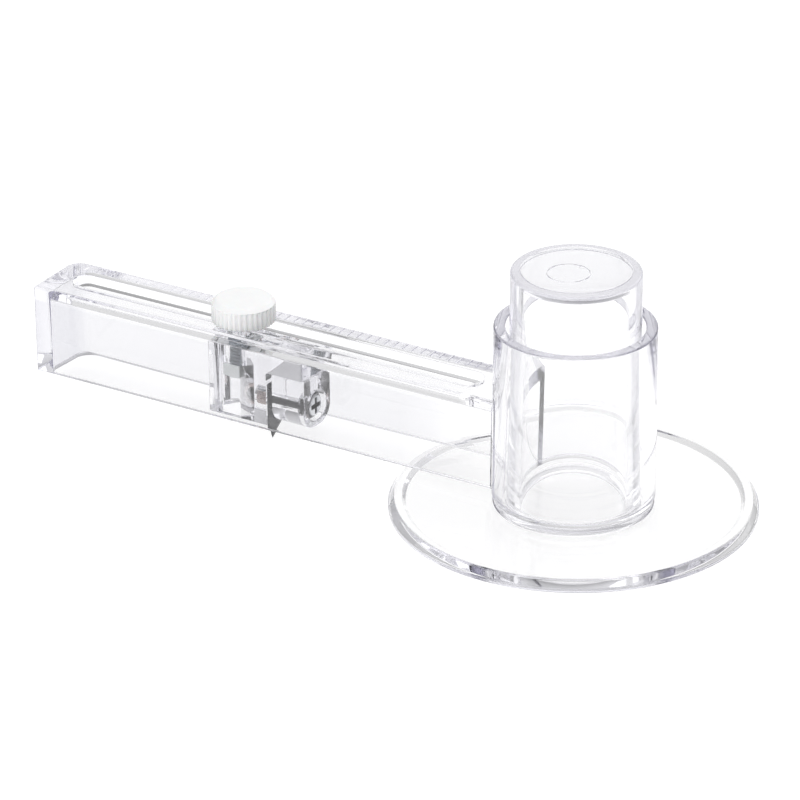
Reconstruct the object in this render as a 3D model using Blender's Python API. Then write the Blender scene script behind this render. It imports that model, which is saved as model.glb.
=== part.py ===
"""Compass-type circle cutter in clear plastic.

A hollow hand post stands on a round base. An arm turns round the post on a sleeve, and a
blade carriage slides along the arm and is clamped from above by a ribbed knob.

The origin is on the post's axis, on the surface that the base stands on, with +Z up.
The arm points along -X, so a place that is OUT from the axis is at x = -OUT.
"""
import math

import bmesh
import bpy
from mathutils import Vector

MM = 0.001

# Clearance between pieces that touch or slide on each other
GAP = 0.3 * MM

# Base disc with its raised rim
BASE_RADIUS = 43.0 * MM
EDGE_HEIGHT = 0.9 * MM
PLATE_THICKNESS = 1.6 * MM
RIM_HEIGHT = 2.6 * MM
RIM_OUTER_SLOPE = 1.6 * MM
RIM_CREST = 1.6 * MM
RIM_INNER_SLOPE = 1.2 * MM

# Hand post, the ring at its foot that the sleeve turns on, and the plug in its top
POST_RADIUS = 15.1 * MM
POST_WALL = 2.0 * MM
POST_HEIGHT = 59.6 * MM
HOLLOW_FLOOR = 2.2 * MM
HOLLOW_FILLET = 1.2 * MM
THRUST_RING_WIDTH = 3.4 * MM
THRUST_RING_TOP = 3.3 * MM
CAP_THICKNESS = 2.3 * MM
CAP_LEDGE = 0.4 * MM

# Sleeve of the swing arm
SLEEVE_PLAY = 0.9 * MM
SLEEVE_WALL = 2.75 * MM
SLEEVE_FLARE = 0.3 * MM
SLEEVE_LENGTH = 42.4 * MM

# Channel of the swing arm, an upside-down U with a slot along its top
ARM_REACH = 144.4 * MM
ARM_WIDTH = 17.9 * MM
ARM_HEIGHT = 22.6 * MM
ARM_SIDE_WALL = 1.9 * MM
ARM_TOP_PLATE = 3.2 * MM
ARM_END_WALL = 4.0 * MM
ARM_CORNER = 4.0 * MM
SLOT_START = 24.3 * MM
SLOT_END_MARGIN = 6.3 * MM

# Clamp bolt, washer and knob
BOLT_OUT = 89.6 * MM
BOLT_RADIUS = 2.5 * MM
BOLT_HEAD_FLATS = 8.0 * MM
BOLT_HEAD_HEIGHT = 3.4 * MM
SLOT_PLAY = 0.6 * MM
WASHER_RADIUS = 6.0 * MM
WASHER_THICKNESS = 0.8 * MM
KNOB_RADIUS = 7.7 * MM
KNOB_HEIGHT = 5.6 * MM
KNOB_TOP_BEVEL = 0.9 * MM
KNOB_RIBS = 36
RIB_DEPTH = 0.35 * MM
KNOB_INSERT_WALL = 1.2 * MM
KNOB_INSERT_LENGTH = 2.8 * MM

# Carriage in the channel
CARRIAGE_LIFT = 0.5 * MM
CARRIAGE_DECK = 5.5 * MM
CARRIAGE_END_WALL = 0.65 * MM
NOSE_THICKNESS = 4.8 * MM
NOSE_LENGTH = 10.0 * MM

# Screw that clamps the blade, and its threaded insert
SCREW_RADIUS = 1.5 * MM
SCREW_HEIGHT = 9.4 * MM
SCREW_HEAD_RADIUS = 3.6 * MM
SCREW_HEAD_LENGTH = 2.2 * MM
RECESS_WIDTH = 0.9 * MM
RECESS_SPAN = 4.0 * MM
RECESS_DEPTH = 1.3 * MM
INSERT_WALL = 0.9 * MM
INSERT_LENGTH = 4.0 * MM
INSERT_TO_WELL = 1.1 * MM

# Blade, and the block that presses it against the carriage
BLADE_THICKNESS = 0.4 * MM
BLADE_WIDTH = 10.0 * MM
BLADE_HEIGHT = 15.0 * MM
BLADE_TIP_HEIGHT = 0.1 * MM
TIP_INSET = 1.0 * MM
TIP_SHOULDER = 3.7 * MM
HEEL_RISE = 5.9 * MM
BLADE_DROP = 3.0 * MM
BLADE_RAISE = 2.5 * MM
CLAMP_LENGTH = 9.2 * MM
CLAMP_SIDE_INSET = 0.75 * MM
CLAMP_FOOT_RADIUS = 5.0 * MM
HEAD_SINK = 0.3 * MM

# Facets
TURN_STEPS = 96
SMALL_STEPS = 32
CORNER_STEPS = 6

# Places worked out from the sizes
thrust_radius = POST_RADIUS + THRUST_RING_WIDTH
seat_radius = POST_RADIUS - POST_WALL
hollow_radius = seat_radius - CAP_LEDGE
sleeve_bore = POST_RADIUS + SLEEVE_PLAY
sleeve_top_radius = sleeve_bore + SLEEVE_WALL
sleeve_foot_radius = sleeve_top_radius + SLEEVE_FLARE
sleeve_bottom = THRUST_RING_TOP + GAP
sleeve_top = sleeve_bottom + SLEEVE_LENGTH

arm_top = sleeve_bottom + ARM_HEIGHT
channel_half = ARM_WIDTH / 2 - ARM_SIDE_WALL
channel_ceiling = arm_top - ARM_TOP_PLATE
slot_radius = BOLT_RADIUS + SLOT_PLAY

carriage_half = channel_half - GAP
carriage_top = channel_ceiling - GAP
carriage_bottom = sleeve_bottom + CARRIAGE_LIFT
nose_underside = carriage_top - NOSE_THICKNESS
well_flats = BOLT_HEAD_FLATS / 2 + GAP
well_corner = well_flats / math.cos(math.radians(30))
well_ceiling = carriage_top - CARRIAGE_DECK
carriage_outer_end = -(well_corner + CARRIAGE_END_WALL)
insert_hole_end = well_corner + INSERT_TO_WELL
insert_start = insert_hole_end + GAP
insert_radius = SCREW_RADIUS + GAP + INSERT_WALL
clamp_face = insert_start + INSERT_LENGTH + GAP
nose_end = clamp_face + NOSE_LENGTH

blade_start = clamp_face + GAP
clamp_start = blade_start + BLADE_THICKNESS + GAP
clamp_end = clamp_start + CLAMP_LENGTH
clamp_top = nose_underside - GAP
clamp_half = carriage_half - CLAMP_SIDE_INSET
screw_head_end = clamp_end - HEAD_SINK
screw_head_start = screw_head_end - SCREW_HEAD_LENGTH

bolt_head_top = well_ceiling - GAP
knob_bottom = arm_top + GAP
washer_top = knob_bottom + WASHER_THICKNESS
knob_insert_bottom = washer_top + GAP + GAP
knob_insert_top = knob_insert_bottom + KNOB_INSERT_LENGTH
knob_hole_top = knob_insert_top + GAP
bolt_top = knob_insert_top - GAP


def make_material(name, colour, roughness, metallic=0.0, alpha=1.0):
    """A Principled material of one piece."""
    material = bpy.data.materials.new(name)
    material.use_nodes = True
    shader = material.node_tree.nodes["Principled BSDF"]
    shader.inputs["Base Color"].default_value = (*colour, 1.0)
    shader.inputs["Roughness"].default_value = roughness
    shader.inputs["Metallic"].default_value = metallic
    shader.inputs["Alpha"].default_value = alpha
    return material


def clear_plastic(name):
    return make_material(name, (0.90, 0.91, 0.94), 0.08, alpha=0.35)


def link_object(name, mesh, parent):
    item = bpy.data.objects.new(name, mesh)
    bpy.context.scene.collection.objects.link(item)
    item.parent = parent
    return item


def add_axis(name, place, parent=None):
    """An empty on a joint's axis, which the moving pieces hang from."""
    axis = link_object(name, None, parent)
    axis.empty_display_size = 0.01
    axis.location = place
    return axis


def finish_mesh(name, shape):
    """A smooth-shaded mesh with its faces pointing out."""
    bmesh.ops.recalc_face_normals(shape, faces=shape.faces)
    mesh = bpy.data.meshes.new(name)
    shape.to_mesh(mesh)
    shape.free()
    mesh.shade_smooth()
    mesh.set_sharp_from_angle(angle=math.radians(35))
    return mesh


def on_axis(axis, across, along):
    """A point from its two coordinates across an axis and its place along it."""
    u, v = across
    if axis == "X":
        return Vector((along, u, v))
    if axis == "Y":
        return Vector((u, along, v))
    return Vector((u, v, along))


def prism_mesh(name, outline, axis, low, high):
    """An outline extruded along an axis from low to high."""
    shape = bmesh.new()
    corners = [shape.verts.new(on_axis(axis, point, low)) for point in outline]
    face = shape.faces.new(corners)
    top = bmesh.ops.extrude_face_region(shape, geom=[face])
    moved = [part for part in top["geom"] if isinstance(part, bmesh.types.BMVert)]
    bmesh.ops.translate(shape, verts=moved, vec=on_axis(axis, (0, 0), high - low))
    return finish_mesh(name, shape)


def turned_mesh(name, profile, axis="Z", centre=(0, 0), steps=TURN_STEPS, reach=None):
    """A closed (radius, place) profile turned about an axis; reach changes a step's radius."""
    shape = bmesh.new()
    u, v = centre
    rings = []
    for radius, along in profile:
        if radius == 0:
            rings.append([shape.verts.new(on_axis(axis, centre, along))])
            continue
        ring = []
        for step in range(steps):
            angle = math.tau * step / steps
            length = radius if reach is None else reach(radius, step)
            across = (u + length * math.cos(angle), v + length * math.sin(angle))
            ring.append(shape.verts.new(on_axis(axis, across, along)))
        rings.append(ring)
    for index, ring in enumerate(rings):
        following = rings[(index + 1) % len(rings)]
        if len(ring) == 1 and len(following) == 1:
            continue
        for step in range(steps):
            after = (step + 1) % steps
            corners = [ring[step % len(ring)], ring[after % len(ring)]]
            corners += [following[after % len(following)], following[step % len(following)]]
            shape.faces.new(list(dict.fromkeys(corners)))
    return finish_mesh(name, shape)


def rounded(corners):
    """An outline from (u, v, radius) corners, each rounded by an arc tangent to its sides."""
    outline = []
    for index, (u, v, radius) in enumerate(corners):
        here = Vector((u, v))
        if radius == 0:
            outline.append(here)
            continue
        before = (Vector(corners[index - 1][:2]) - here).normalized()
        after = (Vector(corners[(index + 1) % len(corners)][:2]) - here).normalized()
        half = before.angle(after) / 2
        centre = here + (before + after).normalized() * radius / math.sin(half)
        first = here + before * radius / math.tan(half) - centre
        last = here + after * radius / math.tan(half) - centre
        start = math.atan2(first.y, first.x)
        sweep = math.remainder(math.atan2(last.y, last.x) - start, math.tau)
        for step in range(CORNER_STEPS + 1):
            angle = start + sweep * step / CORNER_STEPS
            outline.append(centre + radius * Vector((math.cos(angle), math.sin(angle))))
    return outline


def arc(centre, radius, start, sweep, steps):
    """Points along an arc, with its ends."""
    points = []
    for step in range(steps + 1):
        angle = start + sweep * step / steps
        points.append((centre[0] + radius * math.cos(angle), centre[1] + radius * math.sin(angle)))
    return points


def slot_outline(first, last, radius):
    """A slot with round ends about two centres."""
    heading = math.atan2(last[1] - first[1], last[0] - first[0])
    quarter = math.pi / 2
    outline = arc(first, radius, heading + quarter, math.pi, 2 * CORNER_STEPS)
    outline += arc(last, radius, heading - quarter, math.pi, 2 * CORNER_STEPS)
    return outline


def box_outline(low_u, high_u, low_v, high_v):
    return [(low_u, low_v), (high_u, low_v), (high_u, high_v), (low_u, high_v)]


def hexagon(flats):
    """A hexagon with two flats facing +Y and -Y, from half its width across flats."""
    corner = flats / math.cos(math.radians(30))
    turns = [math.radians(60 * index) for index in range(6)]
    return [(corner * math.cos(turn), corner * math.sin(turn)) for turn in turns]


def cross_outline(reach, half):
    """A cross with four equal arms, going round from the arm that points along +U."""
    corners = [(reach, -half), (reach, half), (half, half)]
    outline = []
    for quarter in range(4):
        cosine = round(math.cos(quarter * math.pi / 2))
        sine = round(math.sin(quarter * math.pi / 2))
        outline += [(cosine * u - sine * v, sine * u + cosine * v) for u, v in corners]
    return outline


def rod_profile(radius, low, high):
    return [(0, low), (radius, low), (radius, high), (0, high)]


def tube_profile(inner, outer, low, high):
    return [(inner, low), (outer, low), (outer, high), (inner, high)]


def add_boolean(target, operation, mesh):
    """Cut a mesh out of an object, or join it on, with the mesh in the object's own frame."""
    tool = link_object(mesh.name, mesh, target.parent)
    tool.location = target.location
    tool.hide_render = True
    tool.display_type = "WIRE"
    step = target.modifiers.new(mesh.name, "BOOLEAN")
    step.operation = operation
    step.solver = "EXACT"
    step.object = tool


def cut(target, mesh):
    add_boolean(target, "DIFFERENCE", mesh)


def join(target, mesh):
    add_boolean(target, "UNION", mesh)


def add_piece(name, mesh, material, parent):
    piece = link_object(name, mesh, parent)
    mesh.materials.append(material)
    return piece


def build_base():
    """The disc, its rim, the ring that the sleeve turns on, and the hollow post in one moulding."""
    crest_outer = BASE_RADIUS - RIM_OUTER_SLOPE
    crest_inner = crest_outer - RIM_CREST
    profile = [
        (0, 0),
        (BASE_RADIUS, 0),
        (BASE_RADIUS, EDGE_HEIGHT),
        (crest_outer, RIM_HEIGHT),
        (crest_inner, RIM_HEIGHT),
        (crest_inner - RIM_INNER_SLOPE, PLATE_THICKNESS),
        (thrust_radius, PLATE_THICKNESS),
        (thrust_radius, THRUST_RING_TOP),
        (POST_RADIUS, THRUST_RING_TOP),
        (POST_RADIUS, POST_HEIGHT),
        (seat_radius, POST_HEIGHT),
        (seat_radius, POST_HEIGHT - CAP_THICKNESS - GAP),
        (hollow_radius, POST_HEIGHT - CAP_THICKNESS - GAP),
        (hollow_radius, HOLLOW_FLOOR + HOLLOW_FILLET),
        (hollow_radius - HOLLOW_FILLET, HOLLOW_FLOOR),
        (0, HOLLOW_FLOOR),
    ]
    add_piece("base", turned_mesh("base", profile), clear_plastic("base_plastic"), None)


def build_post_cap():
    """The plug that closes the top of the hollow post."""
    profile = rod_profile(seat_radius - GAP, POST_HEIGHT - CAP_THICKNESS, POST_HEIGHT)
    mesh = turned_mesh("post_cap", profile)
    add_piece("post_cap", mesh, clear_plastic("post_cap_plastic"), None)


def build_swing_arm(pivot):
    """The sleeve and the slotted channel, one moulding."""
    half = ARM_WIDTH / 2
    overlap = sleeve_bore - SLEEVE_WALL
    outline = rounded([
        (-overlap, -half, 0),
        (-overlap, half, 0),
        (-ARM_REACH, half, ARM_CORNER),
        (-ARM_REACH, -half, 0),
    ])
    mesh = prism_mesh("swing_arm", outline, "Z", sleeve_bottom, arm_top)
    arm = add_piece("swing_arm", mesh, clear_plastic("swing_arm_plastic"), pivot)

    inner_end = -(ARM_REACH - ARM_END_WALL)
    cavity = rounded([
        (0, -channel_half, 0),
        (0, channel_half, 0),
        (inner_end, channel_half, ARM_CORNER),
        (inner_end, -channel_half, 0),
    ])
    cut(arm, prism_mesh("channel_cavity", cavity, "Z", 0, channel_ceiling))

    sleeve = [
        (0, sleeve_bottom),
        (sleeve_foot_radius, sleeve_bottom),
        (sleeve_top_radius, sleeve_top),
        (0, sleeve_top),
    ]
    join(arm, turned_mesh("sleeve", sleeve))
    bore = rod_profile(sleeve_bore, 0, sleeve_top + ARM_HEIGHT)
    cut(arm, turned_mesh("sleeve_bore", bore))

    slot_first = -(SLOT_START + slot_radius)
    slot_last = -(ARM_REACH - SLOT_END_MARGIN - slot_radius)
    slot = slot_outline((slot_first, 0), (slot_last, 0), slot_radius)
    slot_floor = channel_ceiling - ARM_TOP_PLATE
    cut(arm, prism_mesh("slot", slot, "Z", slot_floor, arm_top + ARM_TOP_PLATE))


def build_carriage(rider):
    """The block that slides in the channel, with its nose over the blade clamp."""
    outline = rounded([
        (carriage_outer_end, -carriage_half, 0),
        (nose_end, -carriage_half, 0),
        (nose_end, carriage_half, 0),
        (carriage_outer_end, carriage_half, ARM_CORNER - GAP),
    ])
    mesh = prism_mesh("carriage", outline, "Z", carriage_bottom, carriage_top)
    carriage = add_piece("carriage", mesh, clear_plastic("carriage_plastic"), rider)

    under_nose = box_outline(clamp_face, nose_end + ARM_WIDTH, 0, nose_underside)
    cut(carriage, prism_mesh("under_nose", under_nose, "Y", -ARM_WIDTH, ARM_WIDTH))
    cut(carriage, prism_mesh("hex_well", hexagon(well_flats), "Z", 0, well_ceiling))
    shaft_hole = rod_profile(BOLT_RADIUS + GAP, well_ceiling - GAP, arm_top)
    cut(carriage, turned_mesh("shaft_hole", shaft_hole, steps=SMALL_STEPS))
    insert_hole = rod_profile(insert_radius + GAP, insert_hole_end, clamp_face + GAP)
    cut(carriage, turned_mesh("insert_hole", insert_hole, "X", (0, SCREW_HEIGHT), SMALL_STEPS))


def build_blade_insert(rider):
    """The threaded insert in the carriage that the clamp screw turns in."""
    profile = tube_profile(
        SCREW_RADIUS + GAP, insert_radius, insert_start, insert_start + INSERT_LENGTH)
    mesh = turned_mesh("blade_screw_insert", profile, "X", (0, SCREW_HEIGHT), SMALL_STEPS)
    brass = make_material("blade_screw_insert_brass", (0.72, 0.56, 0.28), 0.35, metallic=1.0)
    add_piece("blade_screw_insert", mesh, brass, rider)


def build_clamp_bolt(rider):
    """The hexagon bolt that hangs in the carriage and stands up through the slot."""
    head_bottom = bolt_head_top - BOLT_HEAD_HEIGHT
    head = hexagon(BOLT_HEAD_FLATS / 2)
    mesh = prism_mesh("clamp_bolt", head, "Z", head_bottom, bolt_head_top)
    steel = make_material("clamp_bolt_steel", (0.55, 0.57, 0.58), 0.32, metallic=1.0)
    bolt = add_piece("clamp_bolt", mesh, steel, rider)
    shaft = rod_profile(BOLT_RADIUS, bolt_head_top - BOLT_HEAD_HEIGHT / 2, bolt_top)
    join(bolt, turned_mesh("bolt_shaft", shaft, steps=SMALL_STEPS))


def build_knob(axis):
    """The ribbed knob, its moulded-in nut and the washer under it."""
    profile = tube_profile(BOLT_RADIUS + GAP, WASHER_RADIUS, knob_bottom, washer_top)
    steel = make_material("knob_washer_steel", (0.62, 0.63, 0.64), 0.30, metallic=1.0)
    washer = turned_mesh("knob_washer", profile, steps=SMALL_STEPS)
    add_piece("knob_washer", washer, steel, axis)

    insert_outer = BOLT_RADIUS + GAP + KNOB_INSERT_WALL
    profile = tube_profile(BOLT_RADIUS + GAP, insert_outer, knob_insert_bottom, knob_insert_top)
    brass = make_material("knob_insert_brass", (0.72, 0.56, 0.28), 0.35, metallic=1.0)
    insert = turned_mesh("knob_insert", profile, steps=SMALL_STEPS)
    add_piece("knob_insert", insert, brass, axis)

    knob_top = knob_bottom + KNOB_HEIGHT
    plain_radius = KNOB_RADIUS - RIB_DEPTH - KNOB_TOP_BEVEL
    recess_radius = WASHER_RADIUS + GAP
    recess_top = washer_top + GAP
    hole_radius = insert_outer + GAP
    profile = [
        (recess_radius, knob_bottom),
        (KNOB_RADIUS, knob_bottom),
        (KNOB_RADIUS, knob_top - KNOB_TOP_BEVEL),
        (plain_radius, knob_top),
        (0, knob_top),
        (0, knob_hole_top),
        (hole_radius, knob_hole_top),
        (hole_radius, recess_top),
        (recess_radius, recess_top),
    ]

    def ribbed(radius, step):
        """Only the outermost wall is ribbed, with a groove at every other step."""
        if radius < KNOB_RADIUS or step % 2 == 0:
            return radius
        return radius - RIB_DEPTH

    mesh = turned_mesh("knob", profile, steps=2 * KNOB_RIBS, reach=ribbed)
    white = make_material("knob_white", (0.90, 0.90, 0.89), 0.35)
    add_piece("knob", mesh, white, axis)


def build_blade(slider):
    """The flat blade, slotted so that it can be set up and down past the clamp screw."""
    near = -carriage_half
    far = near + BLADE_WIDTH
    tip = BLADE_TIP_HEIGHT
    outline = [
        (near + TIP_INSET, tip),
        (far, tip + HEEL_RISE),
        (far, tip + BLADE_HEIGHT),
        (near, tip + BLADE_HEIGHT),
        (near, tip + TIP_SHOULDER),
    ]
    end = blade_start + BLADE_THICKNESS
    mesh = prism_mesh("blade", outline, "X", blade_start, end)
    steel = make_material("blade_steel", (0.48, 0.48, 0.49), 0.28, metallic=1.0)
    blade = add_piece("blade", mesh, steel, slider)
    low = (0, SCREW_HEIGHT - BLADE_RAISE)
    high = (0, SCREW_HEIGHT + BLADE_DROP)
    slot = slot_outline(low, high, SCREW_RADIUS + GAP)
    cut(blade, prism_mesh("blade_slot", slot, "X", blade_start - GAP, end + GAP))


def build_blade_clamp(slider):
    """The block that presses the blade against the carriage, round-bottomed, with its bore."""
    foot_radius = min(CLAMP_FOOT_RADIUS, 0.9 * clamp_half)
    outline = rounded([
        (-clamp_half, carriage_bottom, foot_radius),
        (clamp_half, carriage_bottom, foot_radius),
        (clamp_half, clamp_top, 0),
        (-clamp_half, clamp_top, 0),
    ])
    mesh = prism_mesh("blade_clamp", outline, "X", clamp_start, clamp_end)
    clamp = add_piece("blade_clamp", mesh, clear_plastic("blade_clamp_plastic"), slider)
    centre = (0, SCREW_HEIGHT)
    shank_hole = rod_profile(SCREW_RADIUS + GAP, clamp_start - GAP, clamp_end)
    cut(clamp, turned_mesh("shank_hole", shank_hole, "X", centre, SMALL_STEPS))
    head_hole = rod_profile(SCREW_HEAD_RADIUS + GAP, screw_head_start - GAP, clamp_end + GAP)
    cut(clamp, turned_mesh("head_hole", head_hole, "X", centre, SMALL_STEPS))


def build_clamp_screw(axis):
    """The cross-recess screw, turned about its own axis."""
    rounding = 0.3 * SCREW_HEAD_LENGTH
    profile = [
        (0, insert_start),
        (SCREW_RADIUS, insert_start),
        (SCREW_RADIUS, screw_head_start),
        (SCREW_HEAD_RADIUS, screw_head_start),
        (SCREW_HEAD_RADIUS, screw_head_end - 2 * rounding),
        (SCREW_HEAD_RADIUS - rounding, screw_head_end - rounding / 2),
        (SCREW_HEAD_RADIUS - 2 * rounding, screw_head_end),
        (0, screw_head_end),
    ]
    mesh = turned_mesh("clamp_screw", profile, "X", steps=SMALL_STEPS)
    chrome = make_material("clamp_screw_chrome", (0.80, 0.80, 0.81), 0.18, metallic=1.0)
    screw = add_piece("clamp_screw", mesh, chrome, axis)
    cross = cross_outline(RECESS_SPAN / 2, RECESS_WIDTH / 2)
    floor = screw_head_end - RECESS_DEPTH
    cut(screw, prism_mesh("cross_recess", cross, "X", floor, screw_head_end + RECESS_DEPTH))


def main():
    for item in list(bpy.data.objects):
        bpy.data.objects.remove(item, do_unlink=True)

    build_base()
    build_post_cap()
    pivot = add_axis("arm_pivot", (0, 0, 0))
    build_swing_arm(pivot)

    rider = add_axis("carriage_place", (-BOLT_OUT, 0, 0), pivot)
    build_carriage(rider)
    build_blade_insert(rider)
    build_clamp_bolt(rider)
    build_knob(add_axis("knob_axis", (0, 0, 0), rider))
    build_blade(add_axis("blade_place", (0, 0, 0), rider))
    build_blade_clamp(add_axis("clamp_place", (0, 0, 0), rider))
    build_clamp_screw(add_axis("screw_axis", (0, 0, SCREW_HEIGHT), rider))


main()
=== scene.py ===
"""The looks of the circle cutter: fine meshes, materials, a pale studio and the camera.

Lengths are in metres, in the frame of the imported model: the post's axis stands at the origin,
the arm points along -X, and a place that is OUT along the arm is at x = -OUT.
"""
import math

import bmesh
import bpy
from mathutils import Matrix, Vector


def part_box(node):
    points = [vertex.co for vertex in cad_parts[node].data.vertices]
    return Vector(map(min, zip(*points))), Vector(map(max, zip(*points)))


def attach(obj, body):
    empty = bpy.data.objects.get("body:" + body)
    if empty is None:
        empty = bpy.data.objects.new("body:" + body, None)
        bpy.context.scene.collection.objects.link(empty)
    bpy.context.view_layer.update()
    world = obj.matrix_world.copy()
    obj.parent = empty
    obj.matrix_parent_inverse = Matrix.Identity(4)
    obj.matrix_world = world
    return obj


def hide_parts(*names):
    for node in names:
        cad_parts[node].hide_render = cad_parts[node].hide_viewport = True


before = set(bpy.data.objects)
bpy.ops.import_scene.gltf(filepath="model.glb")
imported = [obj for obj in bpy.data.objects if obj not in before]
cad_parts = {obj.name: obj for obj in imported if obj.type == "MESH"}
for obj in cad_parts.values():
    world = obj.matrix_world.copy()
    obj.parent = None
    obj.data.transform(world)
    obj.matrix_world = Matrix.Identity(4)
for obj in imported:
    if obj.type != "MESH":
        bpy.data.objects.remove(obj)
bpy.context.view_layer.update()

MM = 0.001
GAP = 0.3 * MM  # the CAD's clearance between separate pieces
SEAM = 0.03 * MM  # the clearance between the post and its cap, which light shows if it is wider

# Base and post
POST_WALL = 2.0 * MM
HOLLOW_FLOOR = 2.2 * MM
CAP_LEDGE = 0.4 * MM
PLATE_THICKNESS = 1.6 * MM
RIM_HEIGHT = 2.6 * MM
EDGE_HEIGHT = 0.9 * MM
RIM_OUTER_SLOPE = 1.6 * MM
RIM_CREST = 1.6 * MM
RIM_INNER_SLOPE = 1.2 * MM
THRUST_RING_WIDTH = 3.4 * MM

# Arm and sleeve
SLEEVE_WALL = 2.75 * MM
SLEEVE_FLARE = 0.3 * MM
ARM_WIDTH = 17.9 * MM
ARM_HEIGHT = 22.6 * MM
ARM_SIDE_WALL = 1.9 * MM
ARM_TOP_PLATE = 3.2 * MM
ARM_END_WALL = 4.0 * MM
ARM_CORNER = 4.0 * MM
SLOT_RADIUS = 3.1 * MM
SLOT_START = 24.3 * MM
SLOT_END_MARGIN = 6.3 * MM
HUB_STEP_REACH = 22.6 * MM
HUB_STEP_HEIGHT = 2.0 * MM
HUB_STEP_DEPTH = 0.25 * MM
SCALE_PITCH = 2.5 * MM
SCALE_RUNGS = 46
SCALE_START = 1.2 * MM  # from the slot's inner end to the first rung
SCALE_DEPTH = 0.25 * MM
RUNG_WIDTH = 0.6 * MM
FOOT_MARK_WIDTH = 0.5 * MM
FOOT_MARK_DEPTH = 0.12 * MM
FOOT_MARK_HEIGHT = 0.35 * MM

# Carriage and blade clamp
NOSE_THICKNESS = 4.8 * MM
CARRIAGE_DECK = 5.5 * MM
INSERT_HOLE_RADIUS = 3.0 * MM
CLAMP_FOOT_RADIUS = 5.0 * MM

# Blade
TIP_INSET = 1.0 * MM
SHOULDER_HEIGHT = 3.7 * MM
HEEL_HEIGHT = 5.9 * MM
GRIND_WIDTH = 1.1 * MM
BLADE_SLOT_DOWN = 2.5 * MM
BLADE_SLOT_UP = 3.0 * MM

# Threads, screw and knob
BOLT_RADIUS = 2.5 * MM
BOLT_PITCH = 0.8 * MM
BOLT_THREAD = 0.3 * MM
SCREW_RADIUS = 1.5 * MM
SCREW_PITCH = 0.5 * MM
SCREW_THREAD = 0.22 * MM
SCREW_HEAD_LENGTH = 2.2 * MM
CROSS_REACH = 2.15 * MM
CROSS_HALF_WIDTH = 0.6 * MM
CROSS_DEPTH = 1.6 * MM
KNOB_RIBS = 36
KNOB_BEVEL = 1.1 * MM
RIB_DEPTH = 0.6 * MM
SCREW_INSERT_TEETH = 24
KNOB_INSERT_TEETH = 30

# Fineness of the meshes
TURN_STEPS = 256
SMALL_STEPS = 96
CORNER_STEPS = 10
LIP_STEPS = 5
THREAD_STEPS = 48
THREAD_RINGS = 12  # per turn of the thread
SHARP_ANGLE = 35  # degrees; a flatter edge is shaded smooth
THREAD_SHARP_ANGLE = 50
LEAST_RADIUS = 0.02 * MM
TOOL_MARGIN = 0.25 * MM  # how far a cutting tool stands out of the surface it cuts
SLOT_ROUNDING = 0.995  # a slot's corner radius, as a share of half its width

LIGHT_BOUNCES = 48  # light runs a long way inside the clear walls


# ---------------------------------------------------------------- mesh tools

def on_axis(axis, across, along):
    """A point from its two coordinates across an axis and its place along it."""
    u, v = across
    if axis == "X":
        return Vector((along, u, v))
    if axis == "Y":
        return Vector((u, along, v))
    return Vector((u, v, along))


def mesh_object(name, shape, sharp=SHARP_ANGLE):
    """An object from a bmesh, shaded smooth except at edges over the sharp angle."""
    bmesh.ops.recalc_face_normals(shape, faces=shape.faces)
    mesh = bpy.data.meshes.new(name)
    shape.to_mesh(mesh)
    shape.free()
    mesh.shade_smooth()
    mesh.set_sharp_from_angle(angle=math.radians(sharp))
    item = bpy.data.objects.new(name, mesh)
    bpy.context.scene.collection.objects.link(item)
    return item


def skin(shape, rings, closed):
    """Faces between rings of vertices; a ring of one vertex closes to a point."""
    pairs = list(zip(rings, rings[1:]))
    if closed:
        pairs.append((rings[-1], rings[0]))
    for ring, following in pairs:
        count = max(len(ring), len(following))
        if count == 1:
            continue
        for step in range(count):
            after = (step + 1) % count
            corners = [ring[step % len(ring)], ring[after % len(ring)]]
            corners += [following[after % len(following)], following[step % len(following)]]
            shape.faces.new(list(dict.fromkeys(corners)))


def turned(name, profile, axis="Z", centre=(0, 0), steps=TURN_STEPS, reach=None):
    """A closed (radius, place) profile turned about an axis; reach changes a radius."""
    shape = bmesh.new()
    u, v = centre
    rings = []
    for radius, along in profile:
        if radius == 0:
            rings.append([shape.verts.new(on_axis(axis, centre, along))])
            continue
        ring = []
        for step in range(steps):
            angle = math.tau * step / steps
            length = radius if reach is None else reach(radius, along, angle)
            across = (u + length * math.cos(angle), v + length * math.sin(angle))
            ring.append(shape.verts.new(on_axis(axis, across, along)))
        rings.append(ring)
    skin(shape, rings, closed=True)
    return mesh_object(name, shape)


def rounded(corners):
    """An outline from (u, v, radius) corners, each rounded by an arc tangent to its sides."""
    outline = []
    for index, (u, v, radius) in enumerate(corners):
        here = Vector((u, v))
        if radius == 0:
            outline.append((u, v))
            continue
        before = (Vector(corners[index - 1][:2]) - here).normalized()
        after = (Vector(corners[(index + 1) % len(corners)][:2]) - here).normalized()
        half = before.angle(after) / 2
        centre = here + (before + after).normalized() * radius / math.sin(half)
        first = here + before * radius / math.tan(half) - centre
        last = here + after * radius / math.tan(half) - centre
        start = math.atan2(first.y, first.x)
        sweep = math.remainder(math.atan2(last.y, last.x) - start, math.tau)
        for step in range(CORNER_STEPS + 1):
            angle = start + sweep * step / CORNER_STEPS
            outline.append((
                centre.x + radius * math.cos(angle), centre.y + radius * math.sin(angle)))
    return outline


def grown(corners, distance):
    """An anticlockwise outline of (u, v, radius) corners with its sides moved outward."""
    moved = []
    for index, (u, v, radius) in enumerate(corners):
        here = Vector((u, v))
        into = (here - Vector(corners[index - 1][:2])).normalized()
        away = (Vector(corners[(index + 1) % len(corners)][:2]) - here).normalized()
        first = Vector((into.y, -into.x))
        second = Vector((away.y, -away.x))
        corner = here + (first + second) * distance / (1 + first.dot(second))
        turn = into.x * away.y - into.y * away.x
        change = distance if turn > 0 else -distance
        new_radius = 0 if radius == 0 else max(radius + change, LEAST_RADIUS)
        moved.append((corner.x, corner.y, new_radius))
    return moved


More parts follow.
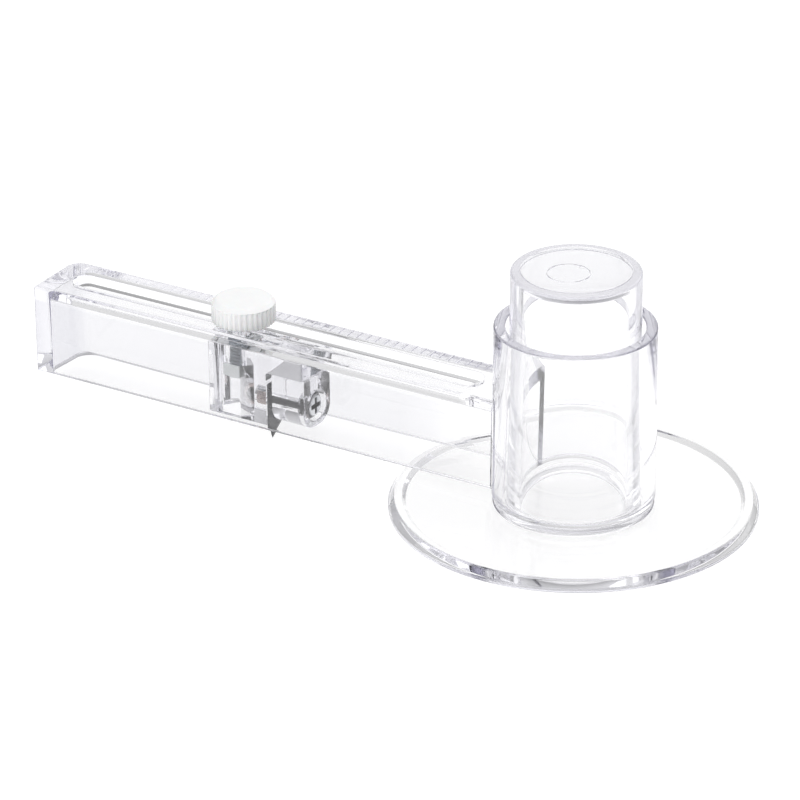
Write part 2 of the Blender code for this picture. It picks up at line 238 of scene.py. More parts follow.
def rectangle(low_u, high_u, low_v, high_v, radii=(0, 0, 0, 0)):
    """Corners anticlockwise from (low_u, low_v)."""
    places = ((low_u, low_v), (high_u, low_v), (high_u, high_v), (low_u, high_v))
    return [(u, v, radius) for (u, v), radius in zip(places, radii)]


def lip(place, radius, side, flare=False):
    """(place, offset) steps of a quarter round at an end of a slab, from its wall to its face.

    side is 1 at the high end and -1 at the low end. A flare grows outward, for a cutter that
    leaves a rounded edge in what it cuts.
    """
    sign = 1 if flare else -1
    steps = []
    for step in range(LIP_STEPS + 1):
        turn = math.pi / 2 * step / LIP_STEPS
        along = place - side * radius * (1 - math.sin(turn))
        steps.append((along, sign * radius * (1 - math.cos(turn))))
    return steps if side > 0 else steps[::-1]


def slab(name, corners, axis, stations):
    """An outline stacked along an axis through (place, offset) stations."""
    shape = bmesh.new()
    rings = []
    for along, offset in stations:
        outline = rounded(grown(corners, offset) if offset else corners)
        rings.append([shape.verts.new(on_axis(axis, point, along)) for point in outline])
    skin(shape, rings, closed=False)
    shape.faces.new(rings[0])
    shape.faces.new(rings[-1])
    return mesh_object(name, shape)


def combine(target, tool, operation):
    """Apply a boolean to an object and throw its tool away."""
    step = target.modifiers.new("combine", "BOOLEAN")
    step.operation = operation
    step.solver = "EXACT"
    step.object = tool
    graph = bpy.context.evaluated_depsgraph_get()
    mesh = bpy.data.meshes.new_from_object(target.evaluated_get(graph))
    target.modifiers.clear()
    old = target.data
    target.data = mesh
    bpy.data.meshes.remove(old)
    bpy.data.objects.remove(tool, do_unlink=True)
    mesh.shade_smooth()
    mesh.set_sharp_from_angle(angle=math.radians(SHARP_ANGLE))


def cut(target, tool):
    """Take a tool's volume away from an object."""
    combine(target, tool, "DIFFERENCE")


def join(target, tool):
    """Make an object and a tool one solid."""
    combine(target, tool, "UNION")


def rod(radius, low, high):
    """The profile of a plain rod."""
    return [(0, low), (radius, low), (radius, high), (0, high)]


def hexagon(half_flats, rounding):
    """Corners of a hexagon round the bolt's axis."""
    corner = half_flats / math.cos(math.radians(30))
    turns = [math.radians(60 * index) for index in range(6)]
    return [(bolt_x + corner * math.cos(a), corner * math.sin(a), rounding) for a in turns]


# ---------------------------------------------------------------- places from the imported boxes

base_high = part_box("base")[1]
cap_low, cap_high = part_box("post_cap")
arm_low, arm_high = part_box("swing_arm")
carriage_low, carriage_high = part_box("carriage")
bolt_low, bolt_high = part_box("clamp_bolt")
washer_low, washer_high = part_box("knob_washer")
knob_low, knob_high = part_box("knob")
knob_insert_low, knob_insert_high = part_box("knob_insert")
insert_low, insert_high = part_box("blade_screw_insert")
blade_low, blade_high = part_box("blade")
clamp_low, clamp_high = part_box("blade_clamp")
screw_low, screw_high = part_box("clamp_screw")

base_radius = base_high.x
post_top = base_high.z
cap_radius = cap_high.x
seat_radius = cap_radius + GAP
post_radius = seat_radius + POST_WALL
hollow_radius = seat_radius - CAP_LEDGE
thrust_radius = post_radius + THRUST_RING_WIDTH

arm_bottom = arm_low.z
arm_top = arm_bottom + ARM_HEIGHT
arm_half = ARM_WIDTH / 2
arm_end = arm_low.x
channel_half = arm_half - ARM_SIDE_WALL
channel_ceiling = arm_top - ARM_TOP_PLATE
sleeve_top = arm_high.z
sleeve_foot_radius = arm_high.y
sleeve_top_radius = sleeve_foot_radius - SLEEVE_FLARE
sleeve_bore = sleeve_top_radius - SLEEVE_WALL

bolt_x = (knob_low.x + knob_high.x) / 2
screw_z = (screw_low.z + screw_high.z) / 2


def keep(piece, body, node, material):
    """Ride a piece on its body in place of a node, with its finish."""
    piece.data.materials.clear()
    piece.data.materials.append(material)
    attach(piece, body)
    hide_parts(node)


# ---------------------------------------------------------------- clear mouldings

def make_base():
    """The disc with its raised rim, the ring under the sleeve, and the hollow post."""
    crest_outer = base_radius - RIM_OUTER_SLOPE
    crest_inner = crest_outer - RIM_CREST
    ledge = cap_low.z - SEAM
    seat = cap_radius + SEAM
    profile = rounded([
        (0, 0, 0),
        (base_radius, 0, 0.2 * MM),
        (base_radius, EDGE_HEIGHT, 0.8 * MM),
        (crest_outer, RIM_HEIGHT, 1.1 * MM),
        (crest_inner, RIM_HEIGHT, 1.0 * MM),
        (crest_inner - RIM_INNER_SLOPE, PLATE_THICKNESS, 0.9 * MM),
        (thrust_radius, PLATE_THICKNESS, 0.4 * MM),
        (thrust_radius, arm_bottom - GAP, 0.4 * MM),
        (post_radius, arm_bottom - GAP, 0.3 * MM),
        (post_radius, post_top, 0.8 * MM),
        (seat, post_top, 0.12 * MM),
        (seat, ledge, 0.1 * MM),
        (hollow_radius, ledge, 0.1 * MM),
        (hollow_radius, HOLLOW_FLOOR, 1.2 * MM),
        (0, HOLLOW_FLOOR, 0),
    ])
    return turned("base_moulding", profile)


def make_post_cap():
    """The plug in the post, with the round mark of an ejector pin on its underside."""
    profile = rounded([
        (0, cap_low.z, 0),
        (cap_radius, cap_low.z, 0.1 * MM),
        (cap_radius, cap_high.z, 0.12 * MM),
        (0, cap_high.z, 0),
    ])
    cap = turned("post_cap_plug", profile)
    mark_depth = 0.35 * MM
    mark_outer = 5.1 * MM
    mark_inner = 4.7 * MM
    mark_slope = 0.15 * MM
    mark = [
        (mark_inner, cap_low.z - mark_depth),
        (mark_outer, cap_low.z - mark_depth),
        (mark_outer - mark_slope, cap_low.z + mark_depth),
        (mark_inner + mark_slope, cap_low.z + mark_depth),
    ]
    mark_centre = (-1.5 * MM, -0.9 * MM)
    cut(cap, turned("ejector_mark", mark, centre=mark_centre, steps=SMALL_STEPS))
    dot = rod(0.7 * MM, cap_low.z - mark_depth, cap_low.z + mark_depth / 2)
    dot_centre = (-0.4 * MM, 3.4 * MM)
    cut(cap, turned("ejector_dot", dot, centre=dot_centre, steps=SMALL_STEPS))
    return cap


def box_grid(name, places, half_u, low_v, high_v, low, high):
    """Many equal upright boxes in one tool, at places along X."""
    shape = bmesh.new()
    for place in places:
        corners = rectangle(place - half_u, place + half_u, low_v, high_v)
        rings = []
        for height in (low, high):
            rings.append([shape.verts.new((u, v, height)) for u, v, _ in corners])
        skin(shape, rings, closed=False)
        shape.faces.new(rings[0])
        shape.faces.new(rings[1])
    return mesh_object(name, shape)


def make_swing_arm():
    """The sleeve and the slotted channel, with the scale along its top and its near foot."""
    edge = 0.3 * MM
    soft_edge = 0.8 * MM
    outside = rectangle(
        arm_end, -post_radius / 2, -arm_half, arm_half, (0.6 * MM, 0, 0, ARM_CORNER))
    stations = lip(arm_bottom, edge, -1) + lip(arm_top, soft_edge, 1)
    arm = slab("arm_moulding", outside, "Z", stations)

    inner_end = arm_end + ARM_END_WALL
    cavity = rectangle(inner_end, 0, -channel_half, channel_half, (0.8 * MM, 0, 0, ARM_CORNER))
    stations = [(arm_bottom - edge, edge)] + lip(arm_bottom, edge, -1, flare=True)
    stations += lip(channel_ceiling, 0.5 * MM, 1)
    cut(arm, slab("channel_cavity", cavity, "Z", stations))

    wall_middle = sleeve_bore + SLEEVE_WALL / 2
    cut(arm, turned("hub_clearance", rod(wall_middle, 0, sleeve_top)))
    sleeve = rounded([
        (sleeve_bore, arm_bottom, 0.3 * MM),
        (sleeve_foot_radius, arm_bottom, 0.35 * MM),
        (sleeve_top_radius, sleeve_top, 0.45 * MM),
        (sleeve_bore, sleeve_top, 0.35 * MM),
    ])
    join(arm, turned("sleeve", sleeve))

    slot_high = -SLOT_START
    slot_low = arm_end + SLOT_END_MARGIN
    round_end = SLOT_RADIUS * SLOT_ROUNDING
    slot = rectangle(slot_low, slot_high, -SLOT_RADIUS, SLOT_RADIUS, [round_end] * 4)
    stations = [(channel_ceiling - edge, edge)] + lip(channel_ceiling, edge, -1, flare=True)
    stations += lip(arm_top, edge, 1, flare=True) + [(arm_top + edge, edge)]
    cut(arm, slab("slot", slot, "Z", stations))

    first = slot_high - SCALE_START
    rungs = [first - SCALE_PITCH * step for step in range(SCALE_RUNGS)]
    cut(arm, box_grid(
        "scale_pockets", rungs, (SCALE_PITCH - RUNG_WIDTH) / 2, 5.0 * MM, arm_half - 0.7 * MM,
        arm_top - SCALE_DEPTH, arm_top + TOOL_MARGIN))
    cut(arm, box_grid(
        "foot_marks", rungs, FOOT_MARK_WIDTH / 2,
        -arm_half - TOOL_MARGIN, -arm_half + FOOT_MARK_DEPTH,
        arm_bottom - TOOL_MARGIN, arm_bottom + FOOT_MARK_HEIGHT))
    across = rectangle(-HUB_STEP_REACH, 0, -arm_half - TOOL_MARGIN, -arm_half + HUB_STEP_DEPTH)
    step = slab("hub_step", across, "Z", [
        (arm_top - HUB_STEP_HEIGHT, 0), (arm_top + TOOL_MARGIN, 0)])
    cut(step, turned("hub_step_end", rod(sleeve_foot_radius, 0, sleeve_top)))
    cut(arm, step)
    return arm


def make_carriage():
    """The sliding block, its nose over the blade clamp, its hexagon well and its holes."""
    edge = 0.3 * MM
    low, high = carriage_low, carriage_high
    outside = rectangle(
        low.x, high.x, low.y, high.y, (0.5 * MM, 0.5 * MM, 0.5 * MM, ARM_CORNER - GAP))
    block = slab("carriage_block", outside, "Z", lip(low.z, edge, -1) + lip(high.z, edge, 1))

    face_x = blade_low.x - GAP
    nose_z = high.z - NOSE_THICKNESS
    under = rectangle(face_x, high.x + edge, low.z - edge, nose_z, (0, 0, 0, 0.5 * MM))
    cut(block, slab("under_nose", under, "Y", [(low.y - edge, 0), (high.y + edge, 0)]))

    well = hexagon((bolt_high.y - bolt_low.y) / 2 + GAP, 0.3 * MM)
    ceiling = high.z - CARRIAGE_DECK
    stations = [(low.z - edge, edge)] + lip(low.z, edge, -1, flare=True) + [(ceiling, 0)]
    cut(block, slab("hex_well", well, "Z", stations))
    shaft = rod(BOLT_RADIUS + GAP, ceiling - GAP, high.z + GAP)
    cut(block, turned("shaft_hole", shaft, centre=(bolt_x, 0), steps=SMALL_STEPS))
    hole = rod(INSERT_HOLE_RADIUS, insert_low.x - GAP, face_x + GAP)
    cut(block, turned("insert_hole", hole, "X", (0, screw_z), SMALL_STEPS))
    return block


def make_blade_clamp():
    """The round-bottomed block, with a deep bore for the screw's head."""
    low, high = clamp_low, clamp_high
    edge = 0.35 * MM
    radii = (CLAMP_FOOT_RADIUS, CLAMP_FOOT_RADIUS, 0.6 * MM, 0.6 * MM)
    outside = rectangle(low.y, high.y, low.z, high.z, radii)
    clamp = slab("clamp_block", outside, "X", lip(low.x, edge, -1) + lip(high.x, edge, 1))
    head_radius = (screw_high.z - screw_low.z) / 2 + GAP
    floor = screw_high.x - SCREW_HEAD_LENGTH - GAP
    bore = rounded([
        (0, low.x - edge, 0),
        (SCREW_RADIUS + GAP, low.x - edge, 0),
        (SCREW_RADIUS + GAP, floor, 0.4 * MM),
        (head_radius, floor, 0.5 * MM),
        (head_radius, high.x, 0.5 * MM),
        (head_radius + edge, high.x, 0),
        (head_radius + edge, high.x + edge, 0),
        (0, high.x + edge, 0),
    ])
    cut(clamp, turned("clamp_bore", bore, "X", (0, screw_z), SMALL_STEPS))
    return clamp


# ---------------------------------------------------------------- knob and metal

def thread(name, radius, depth, pitch, low, high, axis, centre, head):
    """A rod with a screw thread, from one end to the other, that starts plain at its head end."""
    shape = bmesh.new()
    last = int((high - low) / pitch * THREAD_RINGS)
    rings = [[shape.verts.new(on_axis(axis, centre, low))]]
    for index in range(last + 1):
        along = low + (high - low) * index / last
        ring = []
        for step in range(THREAD_STEPS):
            angle = math.tau * step / THREAD_STEPS
            phase = (along / pitch + step / THREAD_STEPS) % 1.0
            groove = depth * (1 - abs(2 * phase - 1))
            from_head = (high - along) if head > 0 else (along - low)
            from_tip = (along - low) if head > 0 else (high - along)
            groove *= min(1.0, max(0.0, from_head / pitch - 0.5))
            reach = min(radius, radius - depth + from_tip) - groove
            across = (centre[0] + reach * math.cos(angle), centre[1] + reach * math.sin(angle))
            ring.append(shape.verts.new(on_axis(axis, across, along)))
        rings.append(ring)
    rings.append([shape.verts.new(on_axis(axis, centre, high))])
    skin(shape, rings, closed=False)
    return mesh_object(name, shape, THREAD_SHARP_ANGLE)


def make_bolt():
    """The hexagon bolt, its head chamfered and its shank threaded."""
    head_top = carriage_high.z - CARRIAGE_DECK - GAP
    outline = hexagon((bolt_high.y - bolt_low.y) / 2, 0)
    corner = outline[0][0] - bolt_x
    bolt = slab("clamp_bolt_m5", outline, "Z", [(bolt_low.z, 0), (head_top, 0)])
    crown = rounded([
        (0, bolt_low.z, 0),
        (corner - 0.9 * MM, bolt_low.z, 0.2 * MM),
        (corner + 0.2 * MM, bolt_low.z + 0.6 * MM, 0.2 * MM),
        (corner + 0.2 * MM, head_top - 0.3 * MM, 0.1 * MM),
        (corner - 0.2 * MM, head_top, 0.1 * MM),
        (0, head_top, 0),
    ])
    combine(bolt, turned("crown", crown, centre=(bolt_x, 0), steps=SMALL_STEPS), "INTERSECT")
    shank = thread(
        "shank", BOLT_RADIUS, BOLT_THREAD, BOLT_PITCH, head_top - 1.0 * MM, bolt_high.z,
        "Z", (bolt_x, 0), head=-1)
    join(bolt, shank)
    return bolt


def make_knob():
    """The ribbed knob, with its soft top edge and its recess for the washer."""
    outer = (knob_high.x - knob_low.x) / 2
    top = knob_high.z
    recess = (washer_high.x - washer_low.x) / 2 + GAP
    recess_top = washer_high.z + GAP
    hole = (knob_insert_high.x - knob_insert_low.x) / 2 + GAP
    hole_top = knob_insert_high.z + GAP
    ribs_end = top - 0.85 * KNOB_BEVEL
    ribs_fade = 0.4 * KNOB_BEVEL
    profile = rounded([
        (recess, knob_low.z, 0.15 * MM),
        (outer, knob_low.z, 0.25 * MM),
        (outer, ribs_end - ribs_fade, 0.1 * MM),
        (outer, ribs_end, 0.3 * MM),
        (outer - KNOB_BEVEL, top, 1.0 * MM),
        (0, top, 0),
        (0, hole_top, 0),
        (hole, hole_top, 0.1 * MM),
        (hole, recess_top, 0.1 * MM),
        (recess, recess_top, 0.15 * MM),
    ])

    def ribbed(radius, along, angle):
        """Grooves between the ribs, which fade out towards the soft top edge."""
        if radius < recess + 0.2 * MM:
            return radius
        fade = min(1.0, max(0.0, (ribs_end - along) / ribs_fade))
        wave = 0.5 + 0.5 * math.cos(KNOB_RIBS * angle)
        return radius - RIB_DEPTH * fade * wave ** 2

    steps = KNOB_RIBS * 10
    return turned("ribbed_knob", profile, centre=(bolt_x, 0), steps=steps, reach=ribbed)


def make_washer():
    """The flat washer between the knob and the arm."""
    outer = (washer_high.x - washer_low.x) / 2
    profile = rounded([
        (BOLT_RADIUS + GAP, washer_low.z, 0.08 * MM),
        (outer, washer_low.z, 0.15 * MM),
        (outer, washer_high.z, 0.15 * MM),
        (BOLT_RADIUS + GAP, washer_high.z, 0.08 * MM),
    ])
    return turned("washer_m5", profile, centre=(bolt_x, 0), steps=SMALL_STEPS)


def knurled_insert(name, low, high, bore, outer, axis, centre, teeth):
    """An insert with a plain bore, a toothed outside and a waist."""
    waist = (low + high) / 2
    waist_depth = 0.3 * MM
    tooth_depth = 0.12 * MM
    profile = rounded([
        (bore, low, 0.1 * MM),
        (outer, low, 0.15 * MM),
        (outer, waist - 0.4 * MM, 0.1 * MM),
        (outer - waist_depth, waist - 0.2 * MM, 0.05 * MM),
        (outer - waist_depth, waist + 0.2 * MM, 0.05 * MM),
        (outer, waist + 0.4 * MM, 0.1 * MM),
        (outer, high, 0.15 * MM),
        (bore, high, 0.1 * MM),
    ])

    def toothed(radius, along, angle):
        """Teeth round the outside only, not in the bore or the waist."""
        if radius < outer - 0.2 * MM:
            return radius
        return radius - tooth_depth * (0.5 + 0.5 * math.cos(teeth * angle))

    return turned(name, profile, axis, centre, teeth * 6, toothed)


def make_blade():
    """The flat blade with its point, its ground bevel and its slot."""
    low, high = blade_low, blade_high
    tip_y = low.y + TIP_INSET
    heel_z = low.z + HEEL_HEIGHT
    outline = [
        (tip_y, low.z, 0),
        (high.y, heel_z, 0.2 * MM),
        (high.y, high.z, 0.3 * MM),
        (low.y, high.z, 0.3 * MM),
        (low.y, low.z + SHOULDER_HEIGHT, 0.3 * MM),
    ]
    edge = 0.03 * MM
    blade = slab("blade_steel_strip", outline, "X", [
        (low.x, -edge), (low.x + edge, 0), (high.x - edge, 0), (high.x, -edge)])
    radius = SCREW_RADIUS + GAP
    slot = rectangle(
        -radius, radius, screw_z - BLADE_SLOT_DOWN - radius, screw_z + BLADE_SLOT_UP + radius,
        [radius * SLOT_ROUNDING] * 4)
    cut(blade, slab("blade_slot", slot, "X", [(low.x - GAP, 0), (high.x + GAP, 0)]))

    along = Vector((0, high.y - tip_y, heel_z - low.z)).normalized()
    across = Vector((0, -along.z, along.y))
    tip = Vector((0, tip_y, low.z))
    middle = Vector(((low.x + high.x) / 2, 0, 0))
    for side, face_x in ((-1, low.x), (1, high.x)):
        shape = bmesh.new()
        surface = Vector((face_x, 0, 0))
        beyond = Vector((side * 1.0 * MM, 0, 0))
        rings = []
        for reach in (-4.0 * MM, 16.0 * MM):
            start = tip + along * reach
            points = (
                middle + start,
                surface + start + across * GRIND_WIDTH,
                surface + start + across * GRIND_WIDTH + beyond,
                middle + start - across * GRIND_WIDTH + beyond,
                middle + start - across * GRIND_WIDTH,
            )
            rings.append([shape.verts.new(point) for point in points])
        skin(shape, rings, closed=False)
        shape.faces.new(rings[0])
        shape.faces.new(rings[1])
        cut(blade, mesh_object("grinding", shape))
    return blade


def make_screw():
    """The pan-head screw with a cross recess."""
    head_start = screw_high.x - SCREW_HEAD_LENGTH
    head_radius = (screw_high.z - screw_low.z) / 2
    dome = rounded([
        (0, head_start, 0),
        (head_radius, head_start, 0.15 * MM),
        (head_radius, head_start + 1.0 * MM, 0.5 * MM),
        (head_radius * 0.72, screw_high.x - 0.15 * MM, 1.2 * MM),
        (0, screw_high.x, 0),
    ])
    head = turned("clamp_screw_m3", dome, "X", (0, screw_z), SMALL_STEPS)
    for wide, tall in ((CROSS_REACH, CROSS_HALF_WIDTH), (CROSS_HALF_WIDTH, CROSS_REACH)):
        cross = rectangle(-wide, wide, screw_z - tall, screw_z + tall, [0.15 * MM] * 4)
        cut(head, slab("cross_recess", cross, "X", [
            (screw_high.x - CROSS_DEPTH, -0.45 * MM),
            (screw_high.x - 0.2 * MM, 0),
            (screw_high.x + 0.5 * MM, 0.2 * MM)]))
    shank = thread(
        "screw_shank", SCREW_RADIUS, SCREW_THREAD, SCREW_PITCH, screw_low.x,
        head_start + 0.5 * MM, "X", (0, screw_z), head=1)
    join(head, shank)
    return head


# ---------------------------------------------------------------- materials

def new_material(name):
    """A material with its node tree and its shader."""
    material = bpy.data.materials.new(name)
    material.use_nodes = True
    tree = material.node_tree
    return material, tree, tree.nodes["Principled BSDF"]


def noise(tree, scale, detail=3.0, roughness=0.5, stretch=(1, 1, 1)):
    """Noise on the piece's own coordinates, in features per metre, stretched if asked."""
    place = tree.nodes.new("ShaderNodeTexCoord")
    mapping = tree.nodes.new("ShaderNodeMapping")
    mapping.inputs["Scale"].default_value = stretch
    texture = tree.nodes.new("ShaderNodeTexNoise")
    texture.inputs["Scale"].default_value = scale
    texture.inputs["Detail"].default_value = detail
    texture.inputs["Roughness"].default_value = roughness
    tree.links.new(place.outputs["Object"], mapping.inputs["Vector"])
    tree.links.new(mapping.outputs["Vector"], texture.inputs["Vector"])
    return texture.outputs["Fac"]


def spread(tree, fac, low, high, start=0.3, end=0.7):
    """A factor from start to end mapped to numbers from low to high."""
    node = tree.nodes.new("ShaderNodeMapRange")
    node.inputs["From Min"].default_value = start
    node.inputs["From Max"].default_value = end
    node.inputs["To Min"].default_value = low
    node.inputs["To Max"].default_value = high
    tree.links.new(fac, node.inputs["Value"])
    return node.outputs["Result"]


def place_along(tree, axis, start, end):
    """A factor that runs from 0 to 1 between two places along an axis of the piece."""
    place = tree.nodes.new("ShaderNodeTexCoord")
    split = tree.nodes.new("ShaderNodeSeparateXYZ")
    tree.links.new(place.outputs["Object"], split.inputs["Vector"])
    return spread(tree, split.outputs[axis], 0.0, 1.0, start, end)


def arm_painted_shade(tree):
    """Painted shade: the side walls are painted darker towards the outer end; the sleeve and the
    top plate stay clear.

    Returns a factor and the colour where that factor is 0.
    """
    # painted shade: white at the sleeve, 0.875 grey along the side walls, 0.70 at the end wall
    ramp = tree.nodes.new("ShaderNodeValToRGB")
    elements = ramp.color_ramp.elements
    elements[0].position = 0.0
    elements[0].color = (1, 1, 1, 1)
    elements[1].position = 1.0
    elements[1].color = (0.70, 0.70, 0.74, 1)
    for position in (0.18, 0.97):
        stop = elements.new(position)
        stop.color = (0.875, 0.875, 0.885, 1)
    tree.links.new(place_along(tree, "X", -sleeve_foot_radius, arm_end), ramp.inputs["Fac"])
    upper = place_along(tree, "Z", channel_ceiling - 0.6 * MM, channel_ceiling)
    return upper, ramp.outputs["Color"]


def mixed(tree, fac, first, last):
    """The first colour where the factor is 0, the last where it is 1."""
    node = tree.nodes.new("ShaderNodeMix")
    node.data_type = "RGBA"
    tree.links.new(fac, node.inputs[0])
    for socket, colour in ((node.inputs[6], first), (node.inputs[7], last)):
        if isinstance(colour, tuple):
            socket.default_value = (*colour, 1)
        else:
            tree.links.new(colour, socket)
    return node.outputs[2]


def tones(tree, fac, first, last, start=0.3, end=0.7):
    """A factor from start to end mapped to colours from first to last."""
    ramp = tree.nodes.new("ShaderNodeValToRGB")
    ramp.color_ramp.elements[0].position = start
    ramp.color_ramp.elements[0].color = (*first, 1)
    ramp.color_ramp.elements[1].position = end
    ramp.color_ramp.elements[1].color = (*last, 1)
    tree.links.new(fac, ramp.inputs["Fac"])
    return ramp.outputs["Color"]


def bump(tree, shader, height, strength, distance):
    """Relief on a shader's surface from a height."""
    node = tree.nodes.new("ShaderNodeBump")
    node.inputs["Strength"].default_value = strength
    node.inputs["Distance"].default_value = distance
    tree.links.new(height, node.inputs["Height"])
    tree.links.new(node.outputs["Normal"], shader.inputs["Normal"])


def clear_plastic(name, ripple, density=27, pale=(1, 1, 1), shade=None):
    """Clear moulded plastic: slight flow ripples, a trace of haze, and lavender-grey depth.

    The shade, when given, is a function that returns a factor and the painted shade colour for
    where that factor is 0.
    """
    material, tree, shader = new_material(name)
    shader.inputs["Transmission Weight"].default_value = 1.0
    shader.inputs["IOR"].default_value = 1.49
    flow = noise(tree, 60, detail=2.0, stretch=(0.35, 1, 1))
    faint = tuple(level * 0.985 for level in pale)
    colour = tones(tree, flow, faint, pale)
    if shade:
        colour = mixed(tree, *shade(tree), colour)
    tree.links.new(colour, shader.inputs["Base Color"])
    haze = noise(tree, 400, detail=2.0)
    tree.links.new(spread(tree, haze, 0.0, 0.02), shader.inputs["Roughness"])
    bump(tree, shader, flow, ripple, 0.1 * MM)
    depth = tree.nodes.new("ShaderNodeVolumeAbsorption")
    depth.inputs["Color"].default_value = (0.80, 0.795, 0.845, 1)
    depth.inputs["Density"].default_value = density
    output = tree.nodes["Material Output"]
    tree.links.new(depth.outputs["Volume"], output.inputs["Volume"])
    return material


def metal(name, dark, bright, rough, grain, stretch=(1, 1, 1), strength=0.15, painted_shade=None):
    """A metal with a cloudy colour and a fine grain, which the stretch can draw out one way.

    The painted shade, when given, is (axis, start, end, colour): the metal is painted that darker
    colour beyond the end place.
    """
    material, tree, shader = new_material(name)
    shader.inputs["Metallic"].default_value = 1.0
    fine = noise(tree, grain, detail=4.0, stretch=stretch)
    cloud = noise(tree, grain / 12, detail=3.0)
    colour = tones(tree, cloud, dark, bright)
    if painted_shade:
        # painted shade: the given darker colour beyond the end place
        axis, start, end, last = painted_shade
        colour = mixed(tree, place_along(tree, axis, start, end), colour, last)
    tree.links.new(colour, shader.inputs["Base Color"])
    tree.links.new(spread(tree, fine, *rough), shader.inputs["Roughness"])
    bump(tree, shader, fine, strength, 0.02 * MM)
    return material


def white_plastic(name):
    """White moulded plastic with a fine matt grain."""
    material, tree, shader = new_material(name)
    shader.inputs["Subsurface Weight"].default_value = 0.05
    shader.inputs["Subsurface Scale"].default_value = 0.5 * MM
    cloud = noise(tree, 300, detail=3.0)
    white = tones(tree, cloud, (0.93, 0.935, 0.935), (0.96, 0.965, 0.965))
    tree.links.new(white, shader.inputs["Base Color"])
    grain = noise(tree, 9000, detail=2.0)
    tree.links.new(spread(tree, grain, 0.28, 0.42), shader.inputs["Roughness"])
    bump(tree, shader, grain, 0.12, 0.02 * MM)
    return material


# ---------------------------------------------------------------- studio and camera

def make_floor():
    """A plain pale floor just under the base, lit from within so that shadows stay faint."""
    reach = 6.0
    drop = 0.2 * MM
    shape = bmesh.new()
    bmesh.ops.create_circle(shape, cap_ends=True, segments=SMALL_STEPS, radius=reach)
    bmesh.ops.translate(shape, verts=shape.verts, vec=(0, 0, -drop))
    floor = mesh_object("studio_floor", shape)
    material, tree, shader = new_material("studio_floor_white")
    shader.inputs["Roughness"].default_value = 0.9
    shader.inputs["Specular IOR Level"].default_value = 0.1
    cloud = noise(tree, 3, detail=2.0)
    pale = tones(tree, cloud, (0.30, 0.30, 0.30), (0.32, 0.32, 0.32))
    tree.links.new(pale, shader.inputs["Base Color"])
    shader.inputs["Emission Color"].default_value = (1, 1, 1, 1)
    shader.inputs["Emission Strength"].default_value = 0.92
    floor.data.materials.append(material)


def make_world():
    """A pale surround that is greyer towards the horizon and towards the left."""
    world = bpy.data.worlds.new("studio")
    bpy.context.scene.world = world
    world.use_nodes = True
    tree = world.node_tree
    background = tree.nodes["Background"]
    place = tree.nodes.new("ShaderNodeTexCoord")
    split = tree.nodes.new("ShaderNodeSeparateXYZ")
    ramp = tree.nodes.new("ShaderNodeValToRGB")
    tree.links.new(place.outputs["Generated"], split.inputs["Vector"])
    tree.links.new(split.outputs["Z"], ramp.inputs["Fac"])
    elements = ramp.color_ramp.elements
    elements[0].position = 0.0
    elements[0].color = (0.08, 0.08, 0.085, 1)
    elements[1].position = 1.0
    elements[1].color = (1.0, 1.0, 1.0, 1)
    for position, level in ((0.08, 0.42), (0.30, 0.74)):
        stop = elements.new(position)
        stop.color = (level, level, level * 1.01, 1)
    tree.links.new(ramp.outputs["Color"], background.inputs["Color"])
    side = spread(tree, split.outputs["X"], 0.5, 1.05, -0.95, -0.25)
    tree.links.new(side, background.inputs["Strength"])


def add_light(name, place, aim, size, power):
    """A rectangular soft light that faces a point."""
    data = bpy.data.lights.new(name, "AREA")
    data.shape = "RECTANGLE"
    data.size, data.size_y = size
    data.energy = power
    lamp = bpy.data.objects.new(name, data)
    bpy.context.scene.collection.objects.link(lamp)
    lamp.location = place
    lamp.rotation_euler = (Vector(aim) - Vector(place)).to_track_quat("-Z", "Y").to_euler()


def make_lights():
    """Three weak soft lights, from above, the left and the back."""
    centre = (-0.05, 0, 0.02)
    add_light("softbox_top", (0.0, 0.1, 1.3), centre, (1.2, 1.2), 3)
    add_light("softbox_left", (-1.2, -0.5, 0.7), centre, (0.8, 0.8), 1.5)
    add_light("softbox_back", (0.3, 1.3, 0.8), centre, (1.0, 0.6), 1.5)


def make_camera():
    """A long lens that looks down at the cutter from the near right."""
    azimuth = math.radians(30.66)
    elevation = math.radians(26.06)
    roll = math.radians(-0.27)
    distance = 1.0108
    target = Vector((-0.03439, -0.02039, 0.02716))
    look = Vector((
        -math.sin(azimuth) * math.cos(elevation),
        math.cos(azimuth) * math.cos(elevation),
        -math.sin(elevation)))
    level = Vector((math.cos(azimuth), math.sin(azimuth), 0))
    upright = level.cross(look)
    right = math.cos(roll) * level + math.sin(roll) * upright
    up = math.cos(roll) * upright - math.sin(roll) * level
    data = bpy.data.cameras.new("camera")
    data.sensor_width = 36
    data.lens = 198.8
    camera = bpy.data.objects.new("camera", data)
    bpy.context.scene.collection.objects.link(camera)
    turn = Matrix((right, up, -look)).transposed()
    camera.matrix_world = Matrix.Translation(target - look * distance) @ turn.to_4x4()
    bpy.context.scene.camera = camera


# ---------------------------------------------------------------- the whole

keep(make_base(), "base", "base", clear_plastic("base_clear", 0.10, density=15))
# painted shade: the cap's clear plastic is painted darker (0.86) than the other clear pieces
keep(make_post_cap(), "base", "post_cap",
     clear_plastic("cap_clear", 0.10, pale=(0.86, 0.86, 0.875)))
keep(make_swing_arm(), "arm", "swing_arm",
     clear_plastic("arm_clear", 0.10, density=28, shade=arm_painted_shade))
keep(make_carriage(), "carriage", "carriage",
     clear_plastic("carriage_clear", 0.15))
keep(make_blade_clamp(), "blade_clamp", "blade_clamp",
     clear_plastic("clamp_clear", 0.15))
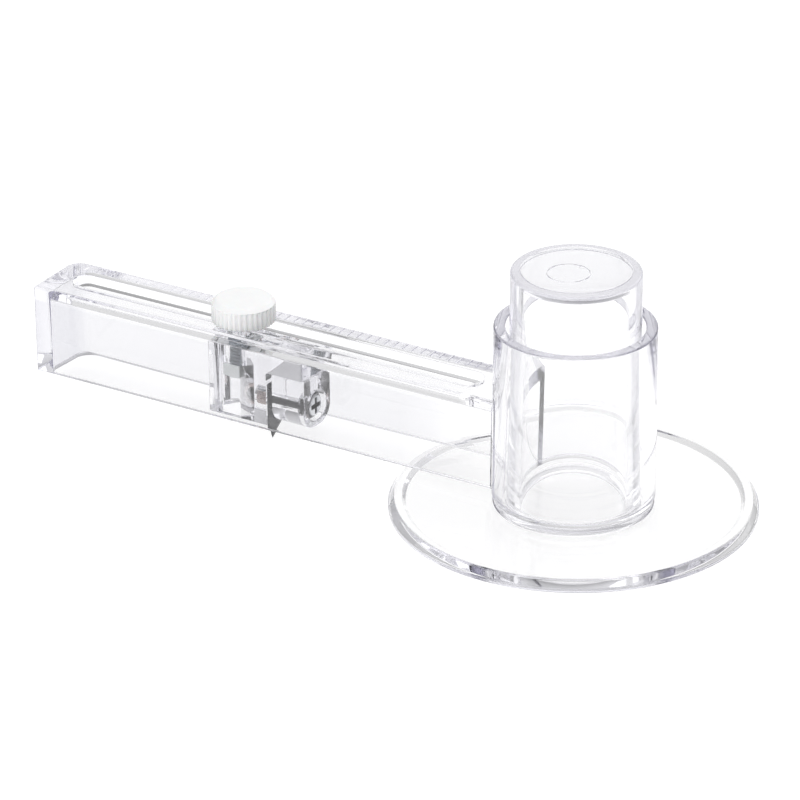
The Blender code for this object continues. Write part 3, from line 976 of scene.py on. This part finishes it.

# painted shade: the bolt is painted dark grey above its head, where its shank stands in the
# carriage's hole
shank_start = carriage_high.z - CARRIAGE_DECK
shank_painted_shade = ("Z", shank_start - 0.4 * MM, shank_start, (0.30, 0.33, 0.37))
steel = metal("bolt_zinc", (0.78, 0.81, 0.80), (0.92, 0.94, 0.93), (0.3, 0.5), 3000,
              painted_shade=shank_painted_shade)
keep(make_bolt(), "carriage", "clamp_bolt", steel)
washer_metal = metal("washer_plain", (0.55, 0.56, 0.58), (0.70, 0.71, 0.72), (0.25, 0.4), 4000)
keep(make_washer(), "washer", "knob_washer", washer_metal)
keep(make_knob(), "knob", "knob", white_plastic("knob_white"))
blade_metal = metal(
    "blade_ground", (0.07, 0.07, 0.075), (0.14, 0.14, 0.145), (0.16, 0.30), 2500, (1, 0.08, 1))
keep(make_blade(), "blade", "blade", blade_metal)
# painted shade: the screw is painted near black deeper than half a millimetre below its crown, in
# its cross recess and down its sides
screw_painted_shade = ("X", screw_high.x - 0.20 * MM, screw_high.x - 0.5 * MM, (0.04, 0.04, 0.045))
chrome = metal("screw_bright", (0.62, 0.63, 0.65), (0.76, 0.77, 0.79), (0.10, 0.22), 3000,
               painted_shade=screw_painted_shade)
keep(make_screw(), "clamp_screw", "clamp_screw", chrome)

brass = metal("insert_brass", (0.50, 0.42, 0.40), (0.66, 0.57, 0.54), (0.2, 0.38), 3000)
insert_z = (insert_low.z + insert_high.z) / 2
insert_radius = (insert_high.z - insert_low.z) / 2
blade_insert = knurled_insert(
    "blade_insert_brass", insert_low.x, insert_high.x, SCREW_RADIUS + GAP, insert_radius,
    "X", (0, insert_z), SCREW_INSERT_TEETH)
keep(blade_insert, "carriage", "blade_screw_insert", brass)
knob_insert_radius = (knob_insert_high.x - knob_insert_low.x) / 2
knob_insert = knurled_insert(
    "knob_insert_brass", knob_insert_low.z, knob_insert_high.z, BOLT_RADIUS + GAP,
    knob_insert_radius, "Z", (bolt_x, 0), KNOB_INSERT_TEETH)
keep(knob_insert, "knob", "knob_insert", brass)

make_floor()
make_world()
make_lights()
make_camera()

scene = bpy.context.scene
scene.view_settings.view_transform = "Standard"
scene.cycles.max_bounces = LIGHT_BOUNCES
scene.cycles.transmission_bounces = LIGHT_BOUNCES
scene.cycles.glossy_bounces = LIGHT_BOUNCES
scene.cycles.transparent_max_bounces = 16
